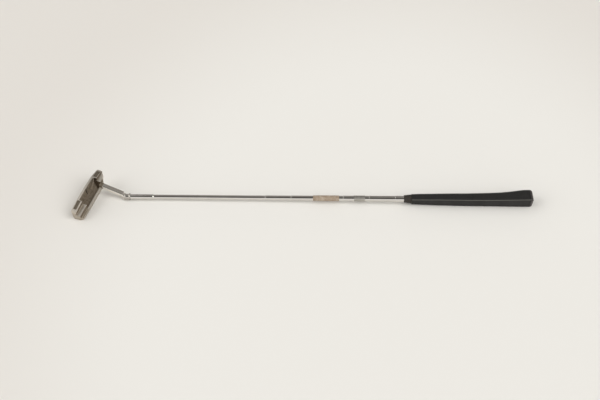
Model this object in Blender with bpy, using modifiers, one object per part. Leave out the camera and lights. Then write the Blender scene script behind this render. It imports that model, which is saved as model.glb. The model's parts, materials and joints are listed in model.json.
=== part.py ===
# Golf putter, right-handed: a cast blade weighted at heel and toe, a neck that leans forward, a
# stepped steel shaft over the neck's post, two bands on the shaft and a pistol grip.
# Metres. The club is modelled standing at address and is then laid down on its face.
#
# Head frame: the origin is on the leading edge of the sole, under the neck. +X runs to the toe,
# +Y is the way the ball goes and +Z is up.
# Shaft frame: the origin is on the shaft's axis inside the collar, +Z runs up the shaft, +Y is
# the way the ball goes and +X is the toe's side.

import math

import bmesh
import bpy
from mathutils import Matrix, Vector

# Fits and facets
GAP = 0.0003                 # clearance that touching pieces keep
CUT = 0.004                  # how far a cutter runs past what it cuts
SIDES = 32                   # facets round a turned piece
ARC_STEPS = 4                # facets in a rounded corner

# Club
CLUB_LENGTH = 0.8910         # ground to butt along the shaft's axis
LIE = math.radians(71)       # shaft's angle to the ground at address
LOFT = math.radians(3)       # face's lean to the back

# Head casting
TOE_X = 0.0850               # neck's axis to the end of the toe
HEEL_X = 0.0283              # neck's axis to the end of the heel
FACE_HEIGHT = 0.0260         # sole to topline
TOE_CAMBER = 0.0012          # rise of the sole at the toe
HEEL_CAMBER = 0.0028         # rise of the sole at the heel
SOLE_RELIEF = math.radians(4)   # rise of the sole to the back
HEEL_DEPTH = 0.0168          # face to back at the heel
MIDDLE_DEPTH = 0.0245        # face to back in the middle
TOE_DEPTH = 0.0203           # face to back at the toe
HEEL_SHOULDER_X = 0.0140     # neck's axis to the shoulder in the sloping heel
HEEL_SHOULDER = 0.0196       # height of that shoulder
HEEL_TOP = 0.0118            # height where the sloping heel ends
TOE_TOP_RADIUS = 0.0090
TOE_SOLE_RADIUS = 0.0070
HEEL_RADIUS = 0.0045
HEEL_CORNER_RADIUS = 0.0045  # upright corner at the back of the heel
TOE_CORNER_RADIUS = 0.0075   # upright corner at the back of the toe
EDGE_ROUND = 0.0004          # softened edges of the casting

# Cavity in the back, with a stepped bumper at each end
TOPLINE = 0.0065             # thickness of the blade at the topline
FLANGE = 0.0060              # thickness of the flange
LOW_STEP = 0.0132            # height of the lower step
HIGH_STEP = 0.0217           # height of the upper step
HIGH_STEP_DEPTH = 0.0155     # face to the back of the upper step
CAVITY_HEEL_X = 0.0040       # neck's axis to the cavity's heel wall, at the back
CAVITY_HEEL_SLANT = 0.0105   # how far that wall slants in on its way to the blade
CAVITY_HEEL_RADIUS = 0.0065
CAVITY_TOE_X = 0.0545        # neck's axis to the cavity's toe wall, at the back
CAVITY_TOE_SLANT = 0.0020    # how far that wall slants out on its way to the blade
CAVITY_TOE_RADIUS = 0.0020
CAVITY_EXTRA = 0.0020        # how much deeper the cavity goes than the back of the topline
CAVITY_SLOPE_LOW = 0.0183    # height where the slope out to the topline begins
CAVITY_SLOPE_TOP = 0.0208    # height where that slope ends
SIGHT_X = 0.0275             # neck's axis to the sight line
SIGHT_WIDTH = 0.0016
SIGHT_DEPTH = 0.0006
SIGHT_MARGIN = 0.0006        # flange left at each end of the sight line

# Weights, in pockets in the back of the bumpers
POCKET_RIM = 0.0014          # casting left below a pocket and between it and the cavity
HEEL_POCKET_RIM = 0.0032     # the same beside the heel's pocket
POCKET_HEIGHT = 0.0068
POCKET_DEPTH = 0.0065
POCKET_RADIUS = 0.0011
TOE_POCKET_LENGTH = 0.0195
HEEL_POCKET_LENGTH = 0.0158
WEIGHT_RECESS = 0.0007       # how far a weight lies below the casting's back

# Neck
NECK_SIZE = 0.0100           # square bar
NECK_ROUND = 0.0026          # rounding of its edges
NECK_RISE = 0.0523           # topline to the shaft frame's origin
NECK_SETBACK = 0.0056        # face to the neck's foot
NECK_HEELWARD = 0.0008       # neck's foot from the head frame's origin to the heel
NECK_AIM = 0.0040            # point on the shaft's axis, above its frame's origin, that the bar aims at
SHAFT_FORWARD = 0.0055       # shaft's axis ahead of the leading edge
BOSS_RADIUS = 0.0058         # round boss of the casting under the neck
BOSS_RISE = 0.0012           # boss above the topline
SPIGOT_RADIUS = 0.0027       # neck's spigot in the casting
SPIGOT_LENGTH = 0.0140
BEND_RADIUS = 0.0062         # ball where the bar bends into the shaft's line
BEND_DROP = 0.0015           # its centre below the collar
POST_LENGTH = 0.0300         # neck's post inside the shaft

# Collar
COLLAR_DROP = 0.0052         # shaft frame's origin to the collar's lower end
COLLAR_LENGTH = 0.0118
COLLAR_RADIUS = 0.0070       # over the beads
BEAD_LENGTH = 0.0026
BEAD_HEIGHT = 0.0009

# Shaft
TIP_RADIUS = 0.00545         # flared tip over the neck's post
TIP_LENGTH = 0.0445
TIP_TAPER = 0.0030
SHAFT_RADIUS = 0.0047        # between the tip and the first step
SHAFT_WALL = 0.0007
STEP_START = 0.2712          # collar to the first step
STEP_PITCH = 0.0518
STEP_RISE = 0.00029          # growth in radius at each step
STEP_COUNT = 9
STEP_TAPER = 0.0012

# Bands on the shaft
BAND_WALL = 0.0003
FOIL_LENGTH = 0.0220
FOIL_BELOW_GRIP = 0.0772     # foil band's top to the grip's mouth
PAPER_LENGTH = 0.0520
PAPER_BELOW_FOIL = 0.0295    # paper band's top to the foil band

# Grip
GRIP_LENGTH = 0.2550         # with its mouth and its cap
MOUTH_LENGTH = 0.0150
MOUTH_RADIUS = 0.0073        # mouth's thin end
MOUTH_BODY_RADIUS = 0.0088   # mouth's thick end
TAPE_WALL = 0.0003
TAPE_INSET = 0.0040          # grip left bare at each end of the tape
GRIP_CORNER = 0.0025         # rounding of the flat front's edges
GRIP_RINGS = 24
CAP_LENGTH = 0.0050
CAP_ROUND = 0.0034           # how far the cap's edge draws in
PLUG_LENGTH = 0.0120         # cap's plug inside the shaft
VENT_RADIUS = 0.0012
# The grip's section along its length: share of the length from the mouth to the butt, axis to
# the flat front, half the width of the front, axis to the back, radius of the round back
GRIP_SECTIONS = (
    (0.00, 0.0083, 0.0086, 0.0099, 0.0086),
    (0.24, 0.0093, 0.0106, 0.0116, 0.0090),
    (0.53, 0.0099, 0.0112, 0.0130, 0.0094),
    (0.73, 0.0097, 0.0118, 0.0152, 0.0095),
    (0.83, 0.0095, 0.0124, 0.0178, 0.0098),
    (0.93, 0.0092, 0.0130, 0.0216, 0.0105),
    (1.00, 0.0090, 0.0132, 0.0219, 0.0107),
)

# Densities in kg per cubic metre, which settle how the club lies
STEEL = 7850
WEIGHT_METAL = 8500
RUBBER = 1250
PAPER = 800

# Places that follow
SHAFT_POINT = Vector((0, SHAFT_FORWARD, FACE_HEIGHT + NECK_RISE))
SHAFT_LEAN = math.radians(90) - LIE
SHAFT_WAY = Vector((-math.sin(SHAFT_LEAN), 0, math.cos(SHAFT_LEAN)))
NECK_FOOT = Vector((-NECK_HEELWARD, -NECK_SETBACK, FACE_HEIGHT + BOSS_RISE + GAP))
COLLAR_LOW = -COLLAR_DROP
COLLAR_TOP = COLLAR_LOW + COLLAR_LENGTH
SHAFT_LOW = COLLAR_TOP + GAP
TIP_TOP = SHAFT_LOW + TIP_LENGTH
BUTT = CLUB_LENGTH - SHAFT_POINT.z / math.cos(SHAFT_LEAN)
CAP_LOW = BUTT - CAP_LENGTH
GRIP_LOW = BUTT - GRIP_LENGTH
GRIP_BODY_LOW = GRIP_LOW + MOUTH_LENGTH + GAP
FOIL_LOW = GRIP_LOW - FOIL_BELOW_GRIP - FOIL_LENGTH
PAPER_LOW = FOIL_LOW - PAPER_BELOW_FOIL - PAPER_LENGTH
POST_RADIUS = TIP_RADIUS - SHAFT_WALL - GAP
POST_TOP = COLLAR_TOP + POST_LENGTH
HEAD_MIDDLE = (TOE_X - HEEL_X) / 2
HEAD_HALF = (TOE_X + HEEL_X) / 2


# Collections

for old in list(bpy.data.objects):
    bpy.data.objects.remove(old)

putter = bpy.data.collections.new("golf_putter")
cutters = bpy.data.collections.new("putter_cutters")
for collection in (putter, cutters):
    bpy.context.scene.collection.children.link(collection)


# Materials

def material(name, colour, roughness, metallic):
    made = bpy.data.materials.new(name)
    made.use_nodes = True
    shader = made.node_tree.nodes["Principled BSDF"]
    shader.inputs["Base Color"].default_value = (*colour, 1)
    shader.inputs["Roughness"].default_value = roughness
    shader.inputs["Metallic"].default_value = metallic
    return made


cast_steel = material("cast_steel", (0.46, 0.43, 0.39), 0.38, 1)
toe_weight_metal = material("toe_weight_metal", (0.055, 0.050, 0.042), 0.55, 0)
heel_weight_metal = material("heel_weight_metal", (0.055, 0.050, 0.042), 0.55, 0)
neck_steel = material("neck_steel", (0.50, 0.47, 0.43), 0.28, 1)
collar_steel = material("collar_steel", (0.62, 0.60, 0.57), 0.22, 1)
shaft_chrome = material("shaft_chrome", (0.72, 0.71, 0.69), 0.08, 1)
tan_paper = material("tan_paper", (0.36, 0.29, 0.22), 0.75, 0)
silver_foil = material("silver_foil", (0.66, 0.65, 0.62), 0.30, 1)
mouth_rubber = material("mouth_rubber", (0.030, 0.027, 0.022), 0.70, 0)
tape_paper = material("tape_paper", (0.50, 0.46, 0.38), 0.80, 0)
grip_rubber = material("grip_rubber", (0.022, 0.022, 0.019), 0.62, 0)
cap_rubber = material("cap_rubber", (0.028, 0.026, 0.025), 0.50, 0)


# Frames

def frame(name, parent, matrix):
    made = bpy.data.objects.new(name, None)
    putter.objects.link(made)
    made.parent = parent
    made.matrix_local = matrix
    return made


head_frame = frame("head_frame", None, Matrix.Identity(4))
shaft_frame = frame("shaft_frame", head_frame,
                    Matrix.Translation(SHAFT_POINT) @ Matrix.Rotation(-SHAFT_LEAN, 4, "Y"))


# Building blocks

def add_object(name, mesh, parent, place, look=None):
    """Puts a mesh in the scene: as a piece with a look, or as a cutter without one."""
    made = bpy.data.objects.new(name, mesh)
    made.parent = parent
    made.matrix_local = place
    if look:
        putter.objects.link(made)
        mesh.materials.append(look)
        mesh.shade_smooth()
        mesh.set_sharp_from_angle(angle=math.radians(35))
    else:
        cutters.objects.link(made)
        made.hide_render = True
        made.display_type = "WIRE"
    return made


def mesh_from(name, bm):
    mesh = bpy.data.meshes.new(name)
    bm.to_mesh(mesh)
    bm.free()
    return mesh


def combine(target, tool, operation="DIFFERENCE"):
    step = target.modifiers.new(tool.name, "BOOLEAN")
    step.operation = operation
    step.object = tool


def box(name, low, high, parent, place=Matrix.Identity(4), look=None):
    """A box between two corners."""
    low, high = Vector(low), Vector(high)
    size = Matrix.Diagonal((*(high - low), 1))
    bm = bmesh.new()
    bmesh.ops.create_cube(bm, matrix=Matrix.Translation((low + high) / 2) @ size)
    return add_object(name, mesh_from(name, bm), parent, place, look)


def rod(name, start, end, radius, parent):
    """A round bar between two points."""
    start, end = Vector(start), Vector(end)
    bm = bmesh.new()
    bmesh.ops.create_cone(bm, cap_ends=True, segments=SIDES, radius1=radius, radius2=radius,
                          depth=(end - start).length)
    turn = (end - start).to_track_quat("Z", "Y").to_matrix().to_4x4()
    place = Matrix.Translation((start + end) / 2) @ turn
    return add_object(name, mesh_from(name, bm), parent, place)


def ball(name, centre, radius, parent):
    bm = bmesh.new()
    bmesh.ops.create_uvsphere(bm, u_segments=SIDES, v_segments=SIDES // 2, radius=radius)
    return add_object(name, mesh_from(name, bm), parent, Matrix.Translation(centre))


def turned(name, profile, closed=True, look=None):
    """A profile of (radius, height) points, down its outer side, turned round the shaft's axis."""
    edges = [(index, index + 1) for index in range(len(profile) - 1)]
    if closed:
        edges.append((len(profile) - 1, 0))
    mesh = bpy.data.meshes.new(name)
    mesh.from_pydata([(radius, 0, height) for radius, height in profile], edges, [])
    made = add_object(name, mesh, shaft_frame, Matrix.Identity(4), look)
    turn = made.modifiers.new("turn", "SCREW")
    turn.steps = SIDES
    turn.render_steps = SIDES
    turn.use_merge_vertices = True
    turn.merge_threshold = 0.00001
    return made


def rounded(corners):
    """The points of a closed outline. Each corner is (x, y, radius), and radius 0 is sharp."""
    points = []
    for index, (x, y, radius) in enumerate(corners):
        corner = Vector((x, y))
        if radius == 0:
            points.append(corner)
            continue
        back = (Vector(corners[index - 1][:2]) - corner).normalized()
        ahead = (Vector(corners[(index + 1) % len(corners)][:2]) - corner).normalized()
        half_angle = back.angle(ahead) / 2
        centre = corner + (back + ahead).normalized() * radius / math.sin(half_angle)
        start = corner + back * radius / math.tan(half_angle) - centre
        end = corner + ahead * radius / math.tan(half_angle) - centre
        for step in range(ARC_STEPS + 1):
            turn = start.angle_signed(end) * step / ARC_STEPS
            points.append(centre + Matrix.Rotation(-turn, 2) @ start)
    return points


def outline_solid(name, points, thickness, place, look=None):
    """A flat outline, filled and given a thickness, as a closed mesh in the head frame."""
    curve = bpy.data.curves.new(name, "CURVE")
    curve.dimensions = "2D"
    curve.fill_mode = "BOTH"
    curve.extrude = thickness / 2
    line = curve.splines.new("POLY")
    line.points.add(len(points) - 1)
    for point, (x, y) in zip(line.points, points):
        point.co = (x, y, 0, 1)
    line.use_cyclic_u = True
    drawn = bpy.data.objects.new(name + "_outline", curve)
    cutters.objects.link(drawn)
    drawn.parent = head_frame
    drawn.matrix_local = place
    bpy.context.view_layer.update()
    graph = bpy.context.evaluated_depsgraph_get()
    mesh = bpy.data.meshes.new_from_object(drawn.evaluated_get(graph))
    bm = bmesh.new()
    bm.from_mesh(mesh)
    bmesh.ops.remove_doubles(bm, verts=bm.verts, dist=0.00001)
    bm.to_mesh(mesh)
    bm.free()
    made = add_object(name, mesh, head_frame, place, look)
    made.matrix_world = drawn.matrix_world
    bpy.data.objects.remove(drawn)
    return made


def seen_from_front(name, points, front, back, look=None):
    """An (x, z) outline between two depths behind the face."""
    upright = Matrix.Rotation(math.radians(90), 4, "X")
    place = Matrix.Translation((0, -(front + back) / 2, 0)) @ upright
    return outline_solid(name, points, back - front, place, look)


def seen_from_above(name, points, low, high):
    """An (x, y) outline between two heights."""
    place = Matrix.Translation((0, 0, (low + high) / 2))
    return outline_solid(name, points, high - low, place)


def seen_from_toe(name, points, low, high):
    """A (y, z) outline between two places along the head."""
    sideways = Matrix.Rotation(math.radians(120), 4, Vector((1, 1, 1)))
    place = Matrix.Translation(((low + high) / 2, 0, 0)) @ sideways
    return outline_solid(name, points, high - low, place)


# Head casting

def back_depth(x):
    """Face to back edge: an arc through the depths at heel, middle and toe."""
    t = (x - HEAD_MIDDLE) / HEAD_HALF
    mean = (HEEL_DEPTH + TOE_DEPTH) / 2
    return mean + t * (TOE_DEPTH - HEEL_DEPTH) / 2 + (MIDDLE_DEPTH - mean) * (1 - t * t)


def sole_height(x, depth):
    end_camber = TOE_CAMBER if x > HEAD_MIDDLE else HEEL_CAMBER
    camber = end_camber * ((x - HEAD_MIDDLE) / HEAD_HALF) ** 2
    return camber + max(0, depth - TOPLINE) * math.tan(SOLE_RELIEF)


def stations(count):
    return [-HEEL_X + (TOE_X + HEEL_X) * step / count for step in range(1, count)]


def front_outline():
    corners = [(-HEEL_X, HEEL_CAMBER, HEEL_RADIUS)]
    corners += [(x, sole_height(x, 0), 0) for x in stations(8)]
    corners.append((TOE_X, TOE_CAMBER, TOE_SOLE_RADIUS))
    corners.append((TOE_X, FACE_HEIGHT, TOE_TOP_RADIUS))
    corners.append((-BOSS_RADIUS, FACE_HEIGHT, 0))
    corners.append((-HEEL_SHOULDER_X, HEEL_SHOULDER, 0))
    corners.append((-HEEL_X, HEEL_TOP, HEEL_RADIUS))
    return rounded(corners)


def plan_outline(inset):
    """The back edge, moved in by an inset, and a front side clear of the face."""
    corners = [(-HEEL_X, -HEEL_DEPTH + inset, HEEL_CORNER_RADIUS)]
    corners += [(x, -back_depth(x) + inset, 0) for x in stations(10)]
    corners.append((TOE_X, -TOE_DEPTH + inset, TOE_CORNER_RADIUS))
    corners.append((TOE_X, CUT, 0))
    corners.append((-HEEL_X, CUT, 0))
    return rounded(corners)


def cavity_outline():
    behind = -MIDDLE_DEPTH - CUT
    floor = CAVITY_EXTRA - TOPLINE
    return rounded([
        (-CAVITY_HEEL_X, behind, 0),
        (CAVITY_TOE_X, behind, 0),
        (CAVITY_TOE_X + CAVITY_TOE_SLANT, floor, CAVITY_TOE_RADIUS),
        (-CAVITY_HEEL_X + CAVITY_HEEL_SLANT + CAVITY_EXTRA, floor, CAVITY_HEEL_RADIUS),
        (-CAVITY_HEEL_X, -HEEL_DEPTH, 0),
    ])


def topline_outline(above):
    """What the cavity leaves of the topline and of the slope below it."""
    return [
        (-TOPLINE, CAVITY_SLOPE_TOP),
        (CAVITY_EXTRA - TOPLINE, CAVITY_SLOPE_LOW),
        (CUT, CAVITY_SLOPE_LOW),
        (CUT, above),
        (-TOPLINE, above),
    ]


def pocket_places():
    """Name, low X, high X and outer end of each pocket."""
    toe_low = CAVITY_TOE_X + POCKET_RIM
    toe_high = toe_low + TOE_POCKET_LENGTH
    heel_high = -CAVITY_HEEL_X - HEEL_POCKET_RIM
    heel_low = heel_high - HEEL_POCKET_LENGTH
    return ("toe", toe_low, toe_high, toe_high), ("heel", heel_low, heel_high, heel_low)


def pocket_block(name, low, high, end, margin, back, look=None):
    """A pocket, or the weight that fills it with a margin all round."""
    foot = sole_height(end, back_depth(end)) + POCKET_RIM
    top = foot + POCKET_HEIGHT
    floor = back_depth(end) - POCKET_DEPTH
    radius = POCKET_RADIUS - margin
    points = rounded([
        (low + margin, foot + margin, radius),
        (high - margin, foot + margin, radius),
        (high - margin, top - margin, radius),
        (low + margin, top - margin, radius),
    ])
    return seen_from_front(name, points, floor + margin, back, look)


def shape_back(casting):
    """The plan, the two steps and the cavity between the bumpers."""
    reach = TOE_X + HEEL_X
    behind = MIDDLE_DEPTH + CUT
    above = FACE_HEIGHT + CUT
    combine(casting, seen_from_above("plan_trim", plan_outline(0), -CUT, above), "INTERSECT")
    high_cut = box("high_step_cut", (-reach, -behind, HIGH_STEP), (reach, -TOPLINE, above), head_frame)
    combine(casting, high_cut)
    low_cut = box("low_step_cut", (-reach, -behind, LOW_STEP), (reach, -HIGH_STEP_DEPTH, above), head_frame)
    combine(casting, low_cut)
    cavity = seen_from_above("cavity_cut", cavity_outline(), FLANGE, above)
    combine(cavity, seen_from_toe("cavity_topline", topline_outline(above + CUT), -reach, reach))
    combine(casting, cavity)


def slant_sole_and_face(casting):
    reach = TOE_X + HEEL_X
    hinge = Matrix.Translation((0, -TOPLINE, 0)) @ Matrix.Rotation(-SOLE_RELIEF, 4, "X")
    relief = box("sole_relief_cut", (-reach, -reach, -reach), (reach, reach, 0), head_frame, hinge)
    combine(casting, relief)
    tilt = Matrix.Rotation(LOFT, 4, "X")
    combine(casting, box("face_cut", (-reach, 0, -reach), (reach, reach, reach), head_frame, tilt))


def build_head():
    behind = MIDDLE_DEPTH + CUT
    casting = seen_from_front("head_casting", front_outline(), -CUT, behind, cast_steel)
    shape_back(casting)
    boss_top = NECK_FOOT - Vector((0, 0, GAP))
    boss_low = Vector((NECK_FOOT.x, NECK_FOOT.y, HIGH_STEP - CUT))
    boss = rod("neck_boss", boss_low, boss_top, BOSS_RADIUS, head_frame)
    combine(casting, boss, "UNION")
    slant_sole_and_face(casting)
    for name, low, high, end in pocket_places():
        combine(casting, pocket_block(name + "_pocket_cut", low, high, end, 0, behind))
    sight_low = (SIGHT_X - SIGHT_WIDTH / 2, -back_depth(SIGHT_X) + SIGHT_MARGIN, FLANGE - SIGHT_DEPTH)
    sight_high = (SIGHT_X + SIGHT_WIDTH / 2, -TOPLINE - SIGHT_MARGIN, FLANGE + CUT)
    combine(casting, box("sight_line_cut", sight_low, sight_high, head_frame))
    socket_low = NECK_FOOT - Vector((0, 0, SPIGOT_LENGTH + GAP))
    socket_top = NECK_FOOT + Vector((0, 0, CUT))
    combine(casting, rod("spigot_socket_cut", socket_low, socket_top, SPIGOT_RADIUS + GAP, head_frame))
    soft = casting.modifiers.new("soft_edges", "BEVEL")
    soft.width = EDGE_ROUND
    soft.segments = 1
    soft.angle_limit = math.radians(40)
    return casting


def build_weights():
    """Blocks that fill the pockets and follow the curve of the back, a little below it."""
    trim = seen_from_above("weight_trim", plan_outline(WEIGHT_RECESS), -CUT, FACE_HEIGHT)
    made = []
    for (name, low, high, end), look in zip(pocket_places(), (toe_weight_metal, heel_weight_metal)):
        weight = pocket_block(name + "_weight", low, high, end, GAP, MIDDLE_DEPTH + CUT, look)
        combine(weight, trim, "INTERSECT")
        made.append(weight)
    return made


# Neck and collar

def build_neck():
    """A square bar from the casting to the collar, a spigot below it and a post in the shaft."""
    bar = SHAFT_POINT + SHAFT_WAY * NECK_AIM - NECK_FOOT
    place = Matrix.Translation(NECK_FOOT) @ bar.to_track_quat("Z", "Y").to_matrix().to_4x4()
    half = NECK_SIZE / 2
    neck = box("neck", (-half, -half, -NECK_SIZE), (half, half, bar.length), head_frame, place, neck_steel)
    soft = neck.modifiers.new("soft_edges", "BEVEL")
    soft.width = NECK_ROUND
    soft.segments = 3
    bend = SHAFT_POINT - SHAFT_WAY * (COLLAR_DROP + BEND_DROP)
    combine(neck, ball("neck_bend", bend, BEND_RADIUS, head_frame), "UNION")

    far = NECK_SIZE * 3
    foot_cut = box("neck_foot_cut", (-far, -far, NECK_FOOT.z - far), (far, far, NECK_FOOT.z), head_frame)
    combine(neck, foot_cut)
    top_cut = box("neck_top_cut", (-far, -far, COLLAR_LOW - GAP), (far, far, far), shaft_frame)
    combine(neck, top_cut)

    post = rod("neck_post", (0, 0, COLLAR_LOW - BEND_DROP), (0, 0, POST_TOP), POST_RADIUS, shaft_frame)
    combine(neck, post, "UNION")
    spigot_low = NECK_FOOT - Vector((0, 0, SPIGOT_LENGTH))
    spigot_top = NECK_FOOT + Vector((0, 0, SPIGOT_RADIUS))
    combine(neck, rod("neck_spigot", spigot_low, spigot_top, SPIGOT_RADIUS, head_frame), "UNION")
    return neck


def bead(top):
    """The outer side of one bead, from its top down."""
    waist = COLLAR_RADIUS - BEAD_HEIGHT
    turns = [math.pi * step / 6 for step in range(7)]
    return [(waist + BEAD_HEIGHT * math.sin(turn), top - BEAD_LENGTH / 2 * (1 - math.cos(turn)))
            for turn in turns]


def build_collar():
    """A ring with a bead at each end and a groove between them."""
    bore = POST_RADIUS + GAP
    profile = bead(COLLAR_TOP) + bead(COLLAR_LOW + BEAD_LENGTH)
    profile += [(bore, COLLAR_LOW), (bore, COLLAR_TOP)]
    return turned("hosel_collar", profile, look=collar_steel)


# Shaft and what is wrapped round it

def step_places():
    """Height of each step's upper edge."""
    return [COLLAR_TOP + STEP_START + STEP_PITCH * step for step in range(STEP_COUNT)]


def shaft_radius(height):
    if height < TIP_TOP:
        return TIP_RADIUS
    passed = sum(place <= height for place in step_places())
    return SHAFT_RADIUS + STEP_RISE * passed


def shaft_line(low, high, offset):
    """The shaft's outer side from high down to low, moved out by an offset."""
    line = [(shaft_radius(high) + offset, high)]
    for place in reversed(step_places()):
        if low < place - STEP_TAPER and place < high:
            line.append((shaft_radius(place) + offset, place))
            line.append((shaft_radius(place) - STEP_RISE + offset, place - STEP_TAPER))
    if low < TIP_TOP < high:
        line.append((SHAFT_RADIUS + offset, TIP_TOP + TIP_TAPER))
        line.append((TIP_RADIUS + offset, TIP_TOP))
    line.append((line[-1][0], low))
    return line


def sleeve(name, low, high, inner, outer, look):
    """A tube that follows the stepped shaft."""
    profile = shaft_line(low, high, outer) + shaft_line(low, high, inner)[::-1]
    return turned(name, profile, look=look)


def build_shaft():
    return sleeve("shaft", SHAFT_LOW, CAP_LOW - GAP, -SHAFT_WALL, 0, shaft_chrome)


def build_bands():
    places = (
        ("shaft_band_paper", PAPER_LOW, PAPER_LENGTH, tan_paper),
        ("shaft_band_foil", FOIL_LOW, FOIL_LENGTH, silver_foil),
    )
    return [sleeve(name, low, low + length, GAP, GAP + BAND_WALL, look)
            for name, low, length, look in places]


# Grip

def grip_sizes(height):
    """The grip's section sizes at a height, on a smooth curve through the table's rows."""
    share = (height - GRIP_LOW - MOUTH_LENGTH) / (GRIP_LENGTH - MOUTH_LENGTH)
    rows = [Vector(row) for row in GRIP_SECTIONS]
    rows = [rows[0] * 2 - rows[1]] + rows + [rows[-1] * 2 - rows[-2]]
    index = 1
    while index < len(rows) - 3 and rows[index + 1][0] < share:
        index += 1
    before, low, high, after = rows[index - 1:index + 3]
    span = high[0] - low[0]
    t = (share - low[0]) / span
    low_slope = (high - before) * span / (high[0] - before[0])
    high_slope = (after - low) * span / (after[0] - low[0])
    sizes = (low * (2 * t ** 3 - 3 * t ** 2 + 1) + high * (3 * t ** 2 - 2 * t ** 3)
             + low_slope * (t ** 3 - 2 * t ** 2 + t) + high_slope * (t ** 3 - t ** 2))
    return sizes[1:]


def grip_section(height, inset=0):
    """Points round the section at a height: a flat front to +X and a round back to -X."""
    front, half, back, back_radius = grip_sizes(height)
    corner = Vector((front - GRIP_CORNER, half - GRIP_CORNER))
    centre = Vector((back_radius - back, 0))
    arm = corner - centre
    tangent = math.atan2(arm.y, arm.x) + math.acos((back_radius - GRIP_CORNER) / arm.length)
    points = []
    for step in range(ARC_STEPS + 1):
        turn = tangent * step / ARC_STEPS
        points.append(corner + (GRIP_CORNER - inset) * Vector((math.cos(turn), math.sin(turn))))
    mirrored = [Vector((point.x, -point.y)) for point in reversed(points)]
    back_steps = ARC_STEPS * 3
    for step in range(back_steps + 1):
        turn = tangent + (math.tau - 2 * tangent) * step / back_steps
        points.append(centre + (back_radius - inset) * Vector((math.cos(turn), math.sin(turn))))
    return points + mirrored


def loft(name, rings, look):
    """A closed solid through rings with the same count of points."""
    bm = bmesh.new()
    made = [[bm.verts.new(point) for point in ring] for ring in rings]
    for low, high in zip(made, made[1:]):
        for index, vert in enumerate(low):
            follow = (index + 1) % len(low)
            bm.faces.new((vert, low[follow], high[follow], high[index]))
    bm.faces.new(made[0][::-1])
    bm.faces.new(made[-1])
    return add_object(name, mesh_from(name, bm), shaft_frame, Matrix.Identity(4), look)


def build_grip():
    """The body, with a flat front and a back that swells to the butt."""
    low, high = GRIP_BODY_LOW, CAP_LOW - GAP
    rings = []
    for step in range(GRIP_RINGS + 1):
        height = low + (high - low) * step / GRIP_RINGS
        rings.append([(x, y, height) for x, y in grip_section(height)])
    grip = loft("grip", rings, grip_rubber)
    bore = shaft_line(low - CUT, high + CUT, GAP + TAPE_WALL + GAP)
    bore = [(0, high + CUT)] + bore + [(0, low - CUT)]
    combine(grip, turned("grip_bore_cut", bore, closed=False))
    return grip


def build_mouth():
    """The tapered end of the grip, which closes on the shaft."""
    top = GRIP_LOW + MOUTH_LENGTH
    profile = [(MOUTH_BODY_RADIUS, top), (MOUTH_RADIUS, GRIP_LOW)]
    profile += shaft_line(GRIP_LOW, top, GAP)[::-1]
    return turned("grip_mouth", profile, look=mouth_rubber)


def build_tape():
    return sleeve("grip_tape", GRIP_BODY_LOW + TAPE_INSET, CAP_LOW - TAPE_INSET,
                  GAP, GAP + TAPE_WALL, tape_paper)


def build_cap():
    """The butt cap: a rounded edge, a flat end, a plug in the shaft and a vent."""
    rings = []
    for step in range(ARC_STEPS + 1):
        turn = math.radians(90) * step / ARC_STEPS
        height = CAP_LOW + CAP_LENGTH * math.sin(turn)
        inset = CAP_ROUND * (1 - math.cos(turn))
        rings.append([(x, y, height) for x, y in grip_section(height, inset)])
    cap = loft("grip_cap", rings, cap_rubber)
    plug_radius = shaft_radius(CAP_LOW) - SHAFT_WALL - GAP
    plug = rod("cap_plug", (0, 0, CAP_LOW - PLUG_LENGTH), (0, 0, CAP_LOW + CAP_LENGTH / 2),
               plug_radius, shaft_frame)
    combine(cap, plug, "UNION")
    vent_low = CAP_LOW - PLUG_LENGTH - CUT
    combine(cap, rod("vent_cut", (0, 0, vent_low), (0, 0, BUTT + CUT), VENT_RADIUS, shaft_frame))
    return cap


# Resting pose

def placed_shape(piece):
    """A piece's finished surface in world space, in triangles."""
    shape = bmesh.new()
    shape.from_object(piece, bpy.context.evaluated_depsgraph_get())
    shape.transform(piece.matrix_world)
    bmesh.ops.triangulate(shape, faces=shape.faces)
    return shape


def floor_facet(pieces):
    """The normal of the hull's facet, on the face's side, that the centre of mass is over."""
    hull = bmesh.new()
    mass = 0
    moment = Vector()
    for piece, density in pieces:
        shape = placed_shape(piece)
        for a, b, c in ([vert.co for vert in face.verts] for face in shape.faces):
            wedge = a.dot(b.cross(c)) / 6 * density
            mass += wedge
            moment += wedge * (a + b + c) / 4
        for vert in shape.verts:
            hull.verts.new(vert.co)
        shape.free()
    centre = moment / mass
    bmesh.ops.convex_hull(hull, input=hull.verts)
    below = []
    for face in hull.faces:
        foot = centre + face.normal * (face.verts[0].co - centre).dot(face.normal)
        if face.normal.y > 0.8 and bmesh.geometry.intersect_face_point(face, foot):
            below.append(face.normal.copy())
    hull.free()
    return below[0]


def lay_down(pieces):
    """Turns that facet down and the shaft to +X, with the origin under the club's middle."""
    bpy.context.view_layer.update()
    up = -floor_facet(pieces)
    along = (SHAFT_WAY - up * SHAFT_WAY.dot(up)).normalized()
    turn = Matrix((along, up.cross(along), up)).to_4x4()
    head_frame.matrix_world = turn
    bpy.context.view_layer.update()
    points = []
    for piece, density in pieces:
        shape = placed_shape(piece)
        points += [vert.co.copy() for vert in shape.verts]
        shape.free()
    low = Vector([min(point[axis] for point in points) for axis in range(3)])
    high = Vector([max(point[axis] for point in points) for axis in range(3)])
    middle = (low + high) / 2
    head_frame.matrix_world = Matrix.Translation((-middle.x, -middle.y, -low.z)) @ turn
    bpy.context.view_layer.update()
    return high - low


def tell(text, values, scale=1000):
    print(text, [round(value * scale, 3) for value in values])


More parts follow.
